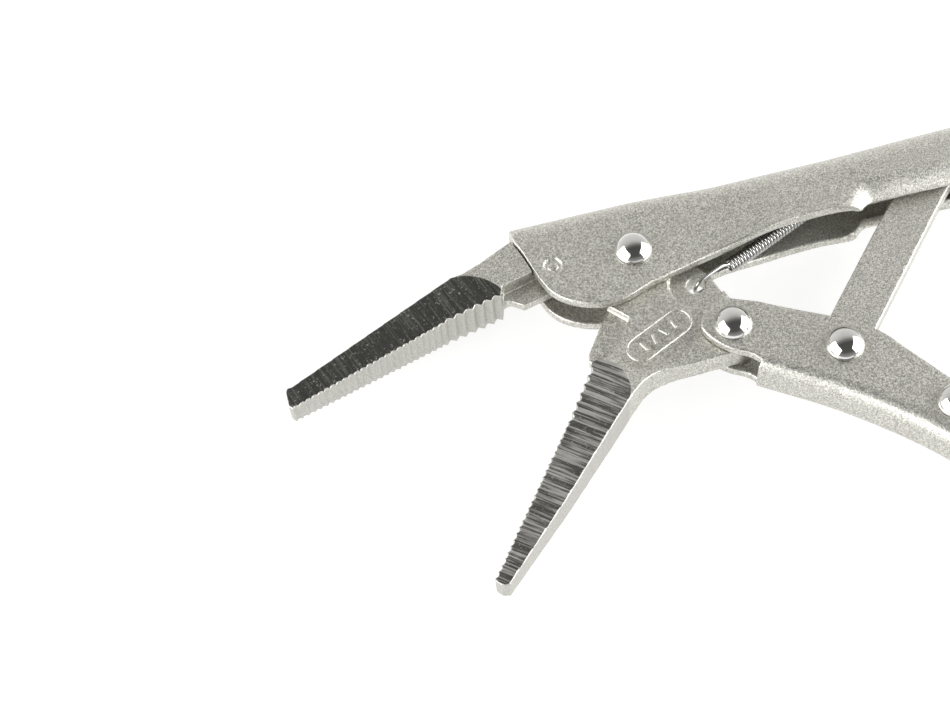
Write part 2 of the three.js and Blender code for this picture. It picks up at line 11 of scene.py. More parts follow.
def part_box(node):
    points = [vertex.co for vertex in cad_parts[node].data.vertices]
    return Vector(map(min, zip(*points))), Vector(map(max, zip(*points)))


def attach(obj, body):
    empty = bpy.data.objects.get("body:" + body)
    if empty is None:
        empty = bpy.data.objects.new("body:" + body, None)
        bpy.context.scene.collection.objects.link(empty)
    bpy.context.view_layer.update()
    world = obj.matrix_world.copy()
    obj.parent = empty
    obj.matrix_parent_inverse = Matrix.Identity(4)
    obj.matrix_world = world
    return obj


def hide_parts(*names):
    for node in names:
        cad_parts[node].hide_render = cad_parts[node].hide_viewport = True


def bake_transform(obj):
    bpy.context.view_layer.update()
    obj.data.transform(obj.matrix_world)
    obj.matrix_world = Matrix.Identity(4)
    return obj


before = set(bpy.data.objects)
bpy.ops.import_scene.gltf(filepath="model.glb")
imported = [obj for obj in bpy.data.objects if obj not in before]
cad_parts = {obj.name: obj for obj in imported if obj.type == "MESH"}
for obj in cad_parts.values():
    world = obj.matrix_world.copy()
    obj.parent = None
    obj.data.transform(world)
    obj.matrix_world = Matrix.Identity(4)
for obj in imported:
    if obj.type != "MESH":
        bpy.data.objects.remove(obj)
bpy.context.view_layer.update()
MM = 0.001


def middle(node):
    low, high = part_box(node)
    return (low + high) / 2


MAIN = middle("main_pivot_rivet")
JAW_HANDLE = middle("jaw_handle_rivet")
LINK = middle("link_rivet")
LEVER = middle("lever_rivet")
PIN = middle("fixed_jaw_pin")


def at(x, y, z=0.0):
    """A point given in millimetres from the main pivot, in the middle plane of the plates."""
    return MAIN + Vector((x, y, z)) * MM


# ------------------------------------------------------------------ camera

CAMERA_PLACE = (-59.3, -196.5, 313.0)
CAMERA_RIGHT = Vector((0.97052, -0.23181, -0.06612))
CAMERA_UP = Vector((0.23293, 0.83126, 0.50473))
CAMERA_BACK = Vector((-0.06204, -0.50525, 0.86074))
LENS = 68.2
SENSOR_WIDTH = 36.0
CLIP = (0.01, 20.0)


def add_camera():
    data = bpy.data.cameras.new("camera")
    data.lens = LENS
    data.sensor_width = SENSOR_WIDTH
    data.clip_start, data.clip_end = CLIP
    camera = bpy.data.objects.new("camera", data)
    axes = Matrix((CAMERA_RIGHT, CAMERA_UP, CAMERA_BACK)).transposed().to_4x4()
    camera.matrix_world = Matrix.Translation(at(*CAMERA_PLACE)) @ axes
    bpy.context.scene.collection.objects.link(camera)
    bpy.context.scene.camera = camera


add_camera()


# ------------------------------------------------------------------ shader helpers


def rgba(color):
    """A colour as a colour socket takes it; a link passes through as it is."""
    return color if isinstance(color, bpy.types.NodeSocket) else (*color, 1)


class Nodes:
    """Short calls for building one material."""

    def __init__(self, name):
        self.material = bpy.data.materials.new(name)
        self.material.use_nodes = True
        self.tree = self.material.node_tree
        self.tree.nodes.clear()
        output = self.tree.nodes.new("ShaderNodeOutputMaterial")
        self.shader = self.tree.nodes.new("ShaderNodeBsdfPrincipled")
        self.tree.links.new(self.shader.outputs[0], output.inputs[0])
        self.coordinates = self.tree.nodes.new("ShaderNodeTexCoord")

    def new(self, kind, inputs=(), **settings):
        node = self.tree.nodes.new(kind)
        for key, value in settings.items():
            setattr(node, key, value)
        for key, value in dict(inputs).items():
            self.put(node.inputs[key], value)
        return node

    def put(self, socket, value):
        if isinstance(value, bpy.types.NodeSocket):
            self.tree.links.new(value, socket)
        else:
            socket.default_value = value

    def math(self, operation, a, b=0.0):
        return self.new("ShaderNodeMath", {0: a, 1: b}, operation=operation).outputs[0]

    def weighted(self, a, a_share, b, b_share):
        a_part = self.math("MULTIPLY", a, a_share)
        return self.math("ADD", a_part, self.math("MULTIPLY", b, b_share))

    def mapped(self, location=(0, 0, 0), turn=0.0, scale=(1, 1, 1)):
        """Object coordinates from location on, turned by -turn about Z, then scaled."""
        moved = self.new(
            "ShaderNodeVectorMath",
            {0: self.coordinates.outputs["Object"], 1: tuple(location)},
            operation="SUBTRACT",
        ).outputs[0]
        rotated = self.new(
            "ShaderNodeMapping", {"Vector": moved, "Rotation": (0, 0, -turn)},
        ).outputs[0]
        return self.new(
            "ShaderNodeVectorMath", {0: rotated, 1: tuple(scale)}, operation="MULTIPLY",
        ).outputs[0]

    def noise(self, vector, scale, detail, rough):
        return self.new(
            "ShaderNodeTexNoise",
            {"Vector": vector, "Scale": scale, "Detail": detail, "Roughness": rough},
        ).outputs[0]

    def band(self, value, low, high, to_low=0.0, to_high=1.0):
        return self.new(
            "ShaderNodeMapRange",
            {"Value": value, 1: low, 2: high, 3: to_low, 4: to_high},
        ).outputs[0]

    def mix(self, factor, a, b):
        node = self.new("ShaderNodeMix", data_type="RGBA")
        self.put(node.inputs[0], factor)
        self.put(node.inputs[6], rgba(a))
        self.put(node.inputs[7], rgba(b))
        return node.outputs[2]

    def blend(self, factor, a, b):
        node = self.new("ShaderNodeMix", data_type="FLOAT")
        for index, value in ((0, factor), (2, a), (3, b)):
            self.put(node.inputs[index], value)
        return node.outputs[0]

    def parts(self, vector):
        return self.new("ShaderNodeSeparateXYZ", {0: vector}).outputs

    def bump(self, height, distance):
        return self.new(
            "ShaderNodeBump", {"Height": height, "Distance": distance, "Strength": 1.0},
        ).outputs[0]

    def finish(self, color, roughness, normal, metallic=1.0):
        self.put(self.shader.inputs["Base Color"], rgba(color))
        self.put(self.shader.inputs["Roughness"], roughness)
        self.put(self.shader.inputs["Metallic"], metallic)
        self.put(self.shader.inputs["Normal"], normal)
        return self.material


NICKEL_DARK = (0.34, 0.333, 0.300)
NICKEL_MID = (0.60, 0.588, 0.545)
NICKEL_LIGHT = (0.89, 0.875, 0.82)
CUT_STEEL = (0.47, 0.465, 0.44)
SPECK_STEEL = (0.55, 0.54, 0.51)
OILED_STEEL = (0.30, 0.29, 0.27)

# noise scales, in cells per metre
GRAIN = 4000.0
PITS = 1900.0
# size of the broad patches of painted highlight on the ground jaw faces
PAINTED_HIGHLIGHT_CELLS = 140.0
CLOUDS = 70.0
SCUFFS = 190.0
HAZE = 420.0
HAIRS = 900.0
OIL = 160.0

SPREAD = (0.3, 0.7)     # most values of a noise lie between these

# heights of relief, in metres
NICKEL_RELIEF = 0.000065
GROUND_RELIEF = 0.00005
THREAD_RELIEF = 0.00003
POLISH_RELIEF = 0.000004


def toned(color, tone):
    return [c * tone for c in color]


def nickel_layers(n, tone=1.0):
    """Colour, roughness and height of blasted and nickel-plated steel."""
    where = n.coordinates.outputs["Object"]
    grain = n.noise(where, GRAIN, 2.0, 0.65)
    pits = n.noise(where, PITS, 2.0, 0.55)
    clouds = n.noise(where, CLOUDS, 3.0, 0.5)
    shade = n.band(n.weighted(grain, 0.72, pits, 0.28), 0.41, 0.59)
    color = n.mix(shade, toned(NICKEL_DARK, tone), toned(NICKEL_LIGHT, tone))
    color = n.mix(n.band(clouds, *SPREAD, 0.0, 0.22), color, toned(NICKEL_MID, tone))
    roughness = n.band(pits, *SPREAD, 0.38, 0.54)
    height = n.weighted(grain, 0.7, pits, 0.6)
    return color, roughness, height


def satin_nickel(name, tone=1.0):
    """Plated sheet with faint scuffs that run along the tool."""
    n = Nodes(name)
    color, roughness, height = nickel_layers(n, tone)
    scuff = n.noise(n.mapped(turn=0.4, scale=(1.0, 9.0, 1.0)), SCUFFS, 4.0, 0.6)
    scuffed = n.band(scuff, 0.66, 0.74)
    color = n.mix(n.math("MULTIPLY", scuffed, 0.35), color, NICKEL_LIGHT)
    return n.finish(color, roughness, n.bump(height, NICKEL_RELIEF))


ARC_BLUR = 0.00012
LINE_BLUR = 0.00005


def ground_zone(n, centre, radius, axis_turn):
    """1 on the ground part of a jaw: inside the disc, or ahead of its centre along the nose."""
    x, y, _ = n.parts(n.mapped(location=centre, turn=axis_turn))
    distance = n.math("SQRT", n.weighted(x, x, y, y))
    inside = n.band(distance, radius - ARC_BLUR, radius + ARC_BLUR, 1.0, 0.0)
    ahead = n.band(x, -LINE_BLUR, LINE_BLUR)
    return n.math("MAXIMUM", inside, ahead)


def jaw_steel(
    name, centre, radius, axis_turn, pitch, ridge, dark, light, contrast, painted_sheen, relief,
):
    """Plated forging whose flat nose faces are ground across: dark steel, fine bright lines, and
    broad patches of painted highlight.
    """
    n = Nodes(name)
    where = n.coordinates.outputs["Object"]
    color, roughness, height = nickel_layers(n)
    zone = ground_zone(n, centre, radius, axis_turn)
    facing = n.parts(n.coordinates.outputs["Normal"])[2]
    flat = n.band(n.math("ABSOLUTE", facing), 0.90, 0.97)
    ground = n.math("MULTIPLY", zone, flat)
    cut = n.math("MULTIPLY", zone, n.math("SUBTRACT", 1.0, flat))
    color = n.mix(n.math("MULTIPLY", cut, 0.6), color, CUT_STEEL)
    uncut = n.math("SUBTRACT", 1.0, n.math("MULTIPLY", cut, 0.7))
    height = n.math("MULTIPLY", height, uncut)
    across = n.mapped(location=centre, turn=axis_turn + 0.03, scale=(1.0, 0.035, 0.035))
    coarse = n.noise(across, 1.0 / pitch, 1.5, 0.45)
    fine = n.noise(across, 3.2 / pitch, 3.0, 0.7)
    lines = n.weighted(coarse, ridge, fine, 1.0 - ridge)
    specks = n.noise(where, PITS, 2.0, 0.7)
    # Broad patches lighten and darken the ground faces: a painted highlight, standing in for the
    # haze of their reflection.
    painted_highlight_patches = n.noise(where, PAINTED_HIGHLIGHT_CELLS, 2.0, 0.5)
    painted_highlight_shift = n.band(painted_highlight_patches, *SPREAD, -painted_sheen, painted_sheen)
    bright = n.band(n.math("ADD", lines, painted_highlight_shift), *contrast)
    steel = n.mix(bright, dark, light)
    steel = n.mix(n.band(specks, 0.60, 0.72, 0.0, 0.8), steel, SPECK_STEEL)
    color = n.mix(ground, color, steel)
    roughness = n.blend(ground, roughness, n.band(fine, *SPREAD, 0.28, 0.44))
    scored = n.weighted(lines, relief, specks, 0.15)
    height = n.blend(ground, height, scored)
    return n.finish(color, roughness, n.bump(height, GROUND_RELIEF))


def polished(name, color, rough, wear=0.35):
    """Bright metal with a light haze and hair-fine scratches."""
    n = Nodes(name)
    haze = n.noise(n.coordinates.outputs["Object"], HAZE, 3.0, 0.6)
    hairs = n.noise(n.mapped(turn=0.7, scale=(1.0, 14.0, 3.0)), HAIRS, 2.0, 0.6)
    tint = n.mix(n.band(haze, 0.35, 0.7, 0.0, wear), color, toned(color, 0.82))
    roughness = n.band(n.weighted(haze, 0.6, hairs, 0.4), *SPREAD, rough, rough * 2.4)
    return n.finish(tint, roughness, n.bump(hairs, POLISH_RELIEF))


def screw_steel(name):
    """Plated steel, darker where oil stays in the thread."""
    n = Nodes(name)
    color, roughness, height = nickel_layers(n, 0.9)
    oil = n.band(n.noise(n.coordinates.outputs["Object"], OIL, 3.0, 0.6), 0.45, 0.7)
    color = n.mix(n.math("MULTIPLY", oil, 0.4), color, OILED_STEEL)
    return n.finish(color, roughness, n.bump(height, THREAD_RELIEF))


# ------------------------------------------------------------------ mesh helpers


def shade_smooth(mesh):
    mesh.polygons.foreach_set("use_smooth", [True] * len(mesh.polygons))


def add_object(name, mesh, materials, smooth=True):
    piece = bpy.data.objects.new(name, mesh)
    bpy.context.scene.collection.objects.link(piece)
    for material in materials:
        mesh.materials.append(material)
    if smooth:
        shade_smooth(mesh)
    return piece


def bake(piece):
    """Applies a piece's modifiers to its mesh."""
    graph = bpy.context.evaluated_depsgraph_get()
    mesh = bpy.data.meshes.new_from_object(piece.evaluated_get(graph))
    old = piece.data
    piece.modifiers.clear()
    piece.data = mesh
    bpy.data.meshes.remove(old)


def worn_copy(node, name, material, voxel, rounds, face_share=1.0):
    """A fine mesh over a CAD node's shape, its edges rounded as by tumbling and plating."""
    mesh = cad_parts[node].data.copy()
    mesh.materials.clear()
    work = bmesh.new()
    work.from_mesh(mesh)
    bmesh.ops.remove_doubles(work, verts=work.verts, dist=1e-6)
    work.to_mesh(mesh)
    work.free()
    if "custom_normal" in mesh.attributes:
        mesh.attributes.remove(mesh.attributes["custom_normal"])
    piece = add_object(name, mesh, [], smooth=False)
    remesh = piece.modifiers.new("remesh", "REMESH")
    remesh.mode = "VOXEL"
    remesh.voxel_size = voxel
    remesh.use_smooth_shade = True
    soften = piece.modifiers.new("soften", "SMOOTH")
    soften.factor = 0.5
    soften.iterations = rounds
    if face_share < 1.0:
        thin = piece.modifiers.new("thin", "DECIMATE")
        thin.ratio = face_share
    bake(piece)
    piece.data.materials.clear()
    piece.data.materials.append(material)
    shade_smooth(piece.data)
    return piece


def loft(rings):
    """An open bmesh skin over closed rings of equal length, and its rows of vertices."""
    work = bmesh.new()
    rows = [[work.verts.new(point) for point in ring] for ring in rings]
    count = len(rows[0])
    for a, b in zip(rows, rows[1:]):
        for i in range(count):
            j = (i + 1) % count
            work.faces.new((a[i], a[j], b[j], b[i]))
    return work, rows


def capped(rings):
    """The same skin with a face over each end."""
    work, rows = loft(rings)
    for row in (rows[0], rows[-1]):
        work.faces.new(row)
    return work


def finish_mesh(work, name):
    bmesh.ops.recalc_face_normals(work, faces=work.faces)
    mesh = bpy.data.meshes.new(name)
    work.to_mesh(mesh)
    work.free()
    return mesh


def turned(profile, centre, axis, sides, radius_at=None):
    """A lathe skin of (distance along the axis, radius); radius_at may vary it by angle."""
    along = Vector(axis).normalized()
    across = along.orthogonal().normalized()
    other = along.cross(across)
    rings = []
    for distance, radius in profile:
        ring = []
        for i in range(sides):
            angle = 2 * math.pi * i / sides
            r = radius if radius_at is None else radius_at(radius, angle)
            way = across * math.cos(angle) + other * math.sin(angle)
            ring.append(centre + along * distance + way * r)
        rings.append(ring)
    return capped(rings)


def smoothstep(x, low, high):
    """0 up to low, 1 from high on, with a smooth rise between them."""
    t = min(1.0, max(0.0, (x - low) / (high - low)))
    return t * t * (3 - 2 * t)


WIRE_TIP = 0.55     # share of the wire's radius left at its cut ends


def swept(points, radius, sides):
    """A round wire along points, with little twist."""
    points = [Vector(p) for p in points]
    rings = []
    side = None
    for i, point in enumerate(points):
        ahead = (points[min(i + 1, len(points) - 1)] - points[max(i - 1, 0)]).normalized()
        side = ahead.orthogonal() if side is None else side - ahead * side.dot(ahead)
        side.normalize()
        up = ahead.cross(side)
        r = radius * (WIRE_TIP if i in (0, len(points) - 1) else 1.0)
        rings.append([
            point + (side * math.cos(a) + up * math.sin(a)) * r
            for a in (2 * math.pi * k / sides for k in range(sides))
        ])
    return capped(rings)


def quarter(first, steps):
    """Angles of a quarter turn in equal steps, from the given step on."""
    return [math.pi / 2 * k / steps for k in range(first, steps + 1)]


# ------------------------------------------------------------------ upper handle

SHEET = 2.2
HALF_FRONT = 5.3    # half the width over the plates, at the front
FLARE = 1.7
SWELL = 0.2
TUBE = 6.6          # outer radius of the rear tube
SCREW_Y = 5.5
FRONT = -23.2
REACH = 128.0
RIM = 0.55          # rounding of the sheet's cut edges

TOP_FRONT = 13.9    # heights of the top's outer face
TOP_DIP = 1.3
TOP_RISE = 0.8
TOP_REAR = 13.4

LEG_FRONT = -3      # heights where the straight side ends and the curl begins
LEG_SLOT = 3.3
SKIRT_FRONT = 9     # lengths of sheet below those
SKIRT_SLOT = 5.4
SLOT_CURL = math.radians(55)
TUBE_CURL = math.radians(86)

# stretches along X over which the section changes
DIP_SPAN = (0, 28)
FLARE_SPAN = (16, 30)
SLOT_SPAN = (40, 50)
RISE_SPAN = (40, 75)
CURL_SPAN = (43, 51)
SWELL_SPAN = (47, 54)
CLOSE_SPAN = (80, 112)
TUBE_SPAN = (100, 112)


def handle_top(x):
    """Height of the handle's top at one section."""
    dip = TOP_DIP * smoothstep(x, *DIP_SPAN)
    rise = TOP_RISE * smoothstep(x, *RISE_SPAN)
    drop = (TOP_REAR - SCREW_Y - TUBE) * smoothstep(x, *TUBE_SPAN)
    return TOP_FRONT - dip + rise - drop


def bezier(points, steps):
    """Points on the cubic curve of four control points."""
    a, b, c, d = (np.array(p, float) for p in points)
    t = np.linspace(0, 1, steps)[:, None]
    return a * (1 - t) ** 3 + 3 * b * t * (1 - t) ** 2 + 3 * c * t * t * (1 - t) + d * t ** 3


# the cut edge of the plates, seen from the side
LOWER_EDGE = np.concatenate([
    bezier(p, 24)
    for p in (
        ((FRONT, 8.8), (-21, 4), (-21, -0.5), (-19, -4.6)),
        ((-19, -4.6), (-17, -8.6), (-11, -11), (-7, -10.9)),
        ((-7, -10.9), (-3, -10.8), (-1.5, -9.4), (2, -8.5)),
        ((2, -8.5), (12, -6.2), (24, -3), (36, -2.7)),
        ((36, -2.7), (42, -2.4), (48, -2.6), (54, -5.5)),
        ((54, -5.5), (70, -5.6), (90, -5.6), (REACH, -5.6)),
    )
])


BEND_POINTS = 40    # points on each of a section's three stretches
SIDE_POINTS = 90    # points on one side of the finished section
FLAT_CURL = 0.01    # below this angle the curl is a straight line


def section(x):
    """The sheet's middle and outward normals at one section, from the top down, uncut."""
    half = HALF_FRONT + FLARE * smoothstep(x, *FLARE_SPAN) + SWELL * smoothstep(x, *SWELL_SPAN)
    half += (TUBE - half) * smoothstep(x, *TUBE_SPAN)
    half -= SHEET / 2
    arc_centre = handle_top(x) - half - SHEET / 2
    slotted = smoothstep(x, *SLOT_SPAN)
    closed = smoothstep(x, *CLOSE_SPAN)
    leg_end = LEG_FRONT + (LEG_SLOT - LEG_FRONT) * slotted + (SCREW_Y - LEG_SLOT) * closed
    curl = SLOT_CURL * smoothstep(x, *CURL_SPAN) + (TUBE_CURL - SLOT_CURL) * closed
    skirt = SKIRT_FRONT + (SKIRT_SLOT - SKIRT_FRONT) * slotted
    skirt += (TUBE_CURL * (TUBE - SHEET / 2) - skirt) * closed
    points = []
    for a in np.linspace(0, math.pi / 2, BEND_POINTS):
        y, z = math.cos(a), math.sin(a)
        points.append((arc_centre + half * y, half * z, y, z))
    for share in np.linspace(0, 1, BEND_POINTS)[1:]:
        points.append((arc_centre + (leg_end - arc_centre) * share, half, 0.0, 1.0))
    for share in np.linspace(0, 1, BEND_POINTS)[1:]:
        a = curl * share
        drop, inward = skirt * share, 0.0
        if curl > FLAT_CURL:
            drop, inward = skirt / curl * math.sin(a), skirt / curl * (1 - math.cos(a))
        points.append((leg_end - drop, half - inward, -math.sin(a), math.cos(a)))
    return np.array(points)


def upper_path(x):
    """One side of a section down to the cut edge, as evenly spaced points and normals."""
    path = section(x)
    edge = float(np.interp(x, LOWER_EDGE[:, 0], LOWER_EDGE[:, 1]))
    below = np.nonzero(path[:, 0] < edge)[0]
    if len(below):
        k = max(1, below[0])
        t = (path[k - 1, 0] - edge) / max(1e-6, path[k - 1, 0] - path[k, 0])
        cut = path[k - 1] + (path[k] - path[k - 1]) * min(1.0, max(0.0, t))
        path = np.concatenate([path[:k], cut[None]])
    length = np.concatenate([[0], np.cumsum(np.hypot(*np.diff(path[:, :2], axis=0).T))])
    total = max(length[-1] - RIM, 0.1)
    wanted = np.linspace(0, total, SIDE_POINTS)
    sampled = np.stack([np.interp(wanted, length, path[:, k]) for k in range(4)], 1)
    sampled[:, 2:] /= np.linalg.norm(sampled[:, 2:], axis=1)[:, None]
    return sampled


RIM_STEPS = 4


def rim_arc(end, half_sheet):
    """Points of the rounded cut edge, from the outside of the sheet to its inside."""
    y, z, ny, nz = end
    ty, tz = -nz, ny
    corner = min(RIM, half_sheet)
    rising = quarter(1, RIM_STEPS)
    out = []
    for sign, angles in ((1, rising), (-1, rising[-2::-1])):
        for a in angles:
            n = sign * (half_sheet - corner + corner * math.cos(a))
            t = corner * math.sin(a)
            out.append((y + ny * n + ty * t, z + nz * n + tz * t))
    return out


def sheet_ring(x, half_sheet):
    """One closed loop round the sheet: outside, cut edge, inside, cut edge."""
    right = [tuple(p) for p in upper_path(x)]
    path = [(y, -z, ny, -nz) for y, z, ny, nz in right[:0:-1]] + right
    outside = [(y + ny * half_sheet, z + nz * half_sheet) for y, z, ny, nz in path]
    inside = [(y - ny * half_sheet, z - nz * half_sheet) for y, z, ny, nz in path]
    rim = rim_arc(right[-1], half_sheet)
    mirrored = [(y, -z) for y, z in rim[::-1]]
    return outside + rim + inside[::-1] + mirrored, len(outside), len(rim)


END_STEPS = (0.0, 0.05, 0.14, 0.27, 0.40, RIM)      # sections near each end of the sheet
FINE_END = -13.0                                    # where the rounded front ends
FINE_STEP = 0.2
COARSE_STEP = 0.75
LAST_GAP = 0.3


def stations():
    """Places along X at which the sheet has a section."""
    places = [FRONT + d for d in END_STEPS]
    places += list(np.arange(FRONT + RIM + FINE_STEP, FINE_END, FINE_STEP))
    places += list(np.arange(FINE_END, REACH - RIM - LAST_GAP, COARSE_STEP))
    return places + [REACH - d for d in END_STEPS[::-1]]


def upper_handle():
    """The pressed sheet: sections joined into a skin, with its two cut ends closed."""
    rings = []
    for x in stations():
        edge = min(RIM, x - FRONT, REACH - x)
        half_sheet = SHEET / 2 - RIM + math.sqrt(max(0.0, RIM ** 2 - (RIM - edge) ** 2))
        ring, wide, rim = sheet_ring(x, half_sheet)
        rings.append([at(x, y, z) for y, z in ring])
    work, rows = loft(rings)
    for row in (rows[0], rows[-1]):
        inner = row[wide + rim:2 * wide + rim][::-1]
        for i in range(wide - 1):
            work.faces.new((row[i], row[i + 1], inner[i + 1], inner[i]))
        work.faces.new(row[wide - 1:wide + rim] + [inner[-1]])
        work.faces.new([inner[0]] + row[2 * wide + rim:] + [row[0]])
    punch_crater(work)
    return finish_mesh(work, "upper_handle_sheet")


CRATER = 2.0
CRATER_DEPTH = 0.42
CRATER_WALL = (-0.45, 0.1)      # its slope, from the crater's radius
CRATER_REACH = 0.6


def punch_crater(work):
    """Sinks both faces of the sheet around the jaw pin."""
    for vert in work.verts:
        offset = (vert.co - PIN) / MM
        distance = math.hypot(offset.x, offset.y)
        if distance > CRATER + CRATER_REACH or abs(offset.z) < HALF_FRONT - 0.4:
            continue
        low, high = (CRATER + d for d in CRATER_WALL)
        sink = CRATER_DEPTH * (1 - smoothstep(distance, low, high))
        vert.co.z -= math.copysign(sink * MM, offset.z)


def rounded_block(name, low, high, radius):
    """A block between two corners given in millimetres from the main pivot, with rounded edges."""
    work = bmesh.new()
    bmesh.ops.create_cube(work, size=1.0)
    low, high = Vector(low), Vector(high)
    for vert in work.verts:
        vert.co = at(*[(l + h) / 2 + c * (h - l) for l, h, c in zip(low, high, vert.co)])
    bmesh.ops.bevel(
        work, geom=list(work.edges), offset=radius * MM, segments=4, profile=0.5, affect="EDGES",
    )
    return finish_mesh(work, name)


# ------------------------------------------------------------------ small parts

SLACK = 0.02        # keeps a face just inside the CAD box
POLE = 0.012        # least radius at the end of a turned shape

HEAD_RADIUS = 3.85
HEAD_HEIGHT = 3.1
HEAD_GAP = 0.15     # between the sheet and the head
HEAD_EDGE = 0.45    # part of the head's height that the dome leaves out
HEAD_FOOT = 0.3     # rounding of the head's foot
DOME_STEPS = 28
SHANK = 2.5


def dome_profile(seat):
    """One end of a rivet, from its shank to the top of its head, in millimetres."""
    base = seat + HEAD_GAP
    top = base + HEAD_HEIGHT
    rise = HEAD_HEIGHT - HEAD_EDGE
    ball = (HEAD_RADIUS ** 2 + rise ** 2) / (2 * rise)
    flat = HEAD_RADIUS - HEAD_FOOT
    points = [(base, SHANK), (base, flat)]
    for a in quarter(1, 6):
        points.append((base + HEAD_FOOT * (1 - math.cos(a)), flat + HEAD_FOOT * math.sin(a)))
    widest = math.asin(min(1.0, (HEAD_RADIUS - SLACK) / ball))
    for k in range(DOME_STEPS + 1):
        a = widest * (1 - k / DOME_STEPS)
        points.append((top - ball + ball * math.cos(a), max(POLE, ball * math.sin(a))))
    return points


def both_ends(upper):
    """A profile in metres with the given end, in millimetres, and its mirror image."""
    lower = [(-d, r) for d, r in upper[::-1]]
    return [(d * MM, r * MM) for d, r in lower + upper]


def rivet_mesh(name, centre, seat):
    return finish_mesh(turned(both_ends(dome_profile(seat)), centre, (0, 0, 1), 96), name)


PIN_RADIUS = 1.4
PIN_NECK = 0.28     # depth below the crater's floor at which the peened dome starts
PIN_DOME = 0.62


def pin_mesh():
    """The jaw's pin, with its peened ends in the craters."""
    end = HALF_FRONT - CRATER_DEPTH
    foot = PIN_RADIUS - 2 * SLACK
    upper = [(end - 0.5, PIN_RADIUS - SLACK), (end - PIN_NECK, foot)]
    for a in quarter(1, 9):
        upper.append((end - PIN_NECK + PIN_DOME * math.sin(a), foot * max(0.01, math.cos(a))))
    return finish_mesh(turned(both_ends(upper), PIN, (0, 0, 1), 64), "jaw_pin")


SCREW_TIP = 74.3
SCREW_END = 148.0
SCREW_RADIUS = 4.0
SCREW_SIDES = 48
CHAMFER = 1.6
PITCH = 1.25
RINGS_PER_TURN = 9
THREAD_DEPTH = 0.62
FLANK = (0.12, 0.82)    # shares of half a pitch between which the thread rises


def screw_mesh():
    """A threaded rod as rings whose radius follows a helix."""
    centre = at(0, SCREW_Y)
    step = PITCH / RINGS_PER_TURN
    rings = []
    for i in range(int((SCREW_END - SCREW_TIP) / step) + 1):
        x = min(SCREW_TIP + i * step, SCREW_END)
        tip = min(1.0, (x - SCREW_TIP) / CHAMFER)
        ring = []
        for k in range(SCREW_SIDES):
            angle = 2 * math.pi * k / SCREW_SIDES
            phase = (x / PITCH + angle / (2 * math.pi)) % 1.0
            crest = smoothstep(1 - abs(2 * phase - 1), *FLANK)
            r = SCREW_RADIUS - SLACK - THREAD_DEPTH * (1 - crest) - CHAMFER * (1 - tip) * crest
            ring.append(centre + Vector((x, r * math.cos(angle), r * math.sin(angle))) * MM)
        rings.append(ring)
    return finish_mesh(capped(rings), "screw")


KNOB_FRONT = 138.0
KNOB_LENGTH = 14.0
KNOB_RADIUS = 8.4
KNOB_BORE = SCREW_RADIUS + 0.2
SOCKET_WALL = 3.7       # behind the screw's end
FRONT_ROUND = 1.5
REAR_ROUND = 1.45
FLUTES = 18
FLUTE_DEPTH = 0.62
FLUTE_RISE = (-0.15, 0.95)
FLUTE_FADE = (6.9, 7.9)     # radii between which a flute runs out on the rounded ends


def fluted(radius, angle):
    """The knob's radius at an angle, with the flutes cut in."""
    depth = FLUTE_DEPTH * smoothstep(-math.cos(angle * FLUTES), *FLUTE_RISE) * MM
    low, high = (r * MM for r in FLUTE_FADE)
    return radius - depth * smoothstep(radius, low, high)


def knob_mesh():
    """A round knob with a fluted grip, rounded ends and a socket for the screw."""
    rear = KNOB_FRONT + KNOB_LENGTH
    profile = [
        (rear - SOCKET_WALL, SLACK), (rear - SOCKET_WALL, KNOB_BORE),
        (KNOB_FRONT + 0.4, KNOB_BORE), (KNOB_FRONT + 0.02, KNOB_BORE + 0.4),
        (KNOB_FRONT, 6.0), (KNOB_FRONT + 0.15, 6.5),
    ]
    for a in quarter(0, 8):
        x = KNOB_FRONT + 1.7 - FRONT_ROUND * math.cos(a)
        profile.append((x, 6.85 + FRONT_ROUND * math.sin(a)))
    for x in np.linspace(KNOB_FRONT + 2.0, rear - 1.8, 14):
        profile.append((float(x), KNOB_RADIUS - 0.05))
    for a in quarter(0, 8):
        x = rear - REAR_ROUND + REAR_ROUND * math.sin(a)
        profile.append((x, KNOB_RADIUS - 1.5 + REAR_ROUND * math.cos(a)))
    profile += [(rear, 6.2), (rear - 0.35, 5.6), (rear - 0.4, 5.2), (rear - 0.4, SLACK)]
    points = [(x * MM, r * MM) for x, r in profile]
    return finish_mesh(turned(points, at(0, SCREW_Y), (1, 0, 0), FLUTES * 12, fluted), "knob")


SPRING_EYE = (10.535, -9.644)
SPRING_ANCHOR = (46.0, 5.8)
COIL_START = 8.6        # from the eye
COIL_END = 4.4          # from the anchor
COIL_RADIUS = 1.6
TURNS = 31
TURN_POINTS = 22
HOOK_POINTS = 7
WIRE = 0.74
WIRE_SIDES = 12
LUG = 3.0               # thickness of the jaw's lug, which the front hook goes round
HOOK_GAP = 0.6


def smooth_line(keys, steps):
    """A smooth line through the keys, with a number of steps between two of them."""
    keys = [np.array(k, float) for k in keys]
    keys = [2 * keys[0] - keys[1]] + keys + [2 * keys[-1] - keys[-2]]
    out = []
    for p0, p1, p2, p3 in zip(keys, keys[1:], keys[2:], keys[3:]):
        for t in np.arange(steps) / steps:
            out.append(0.5 * (
                2 * p1 + (p2 - p0) * t + (2 * p0 - 5 * p1 + 4 * p2 - p3) * t * t
                + (3 * p1 - p0 - 3 * p2 + p3) * t ** 3
            ))
    out.append(keys[-2])
    return out


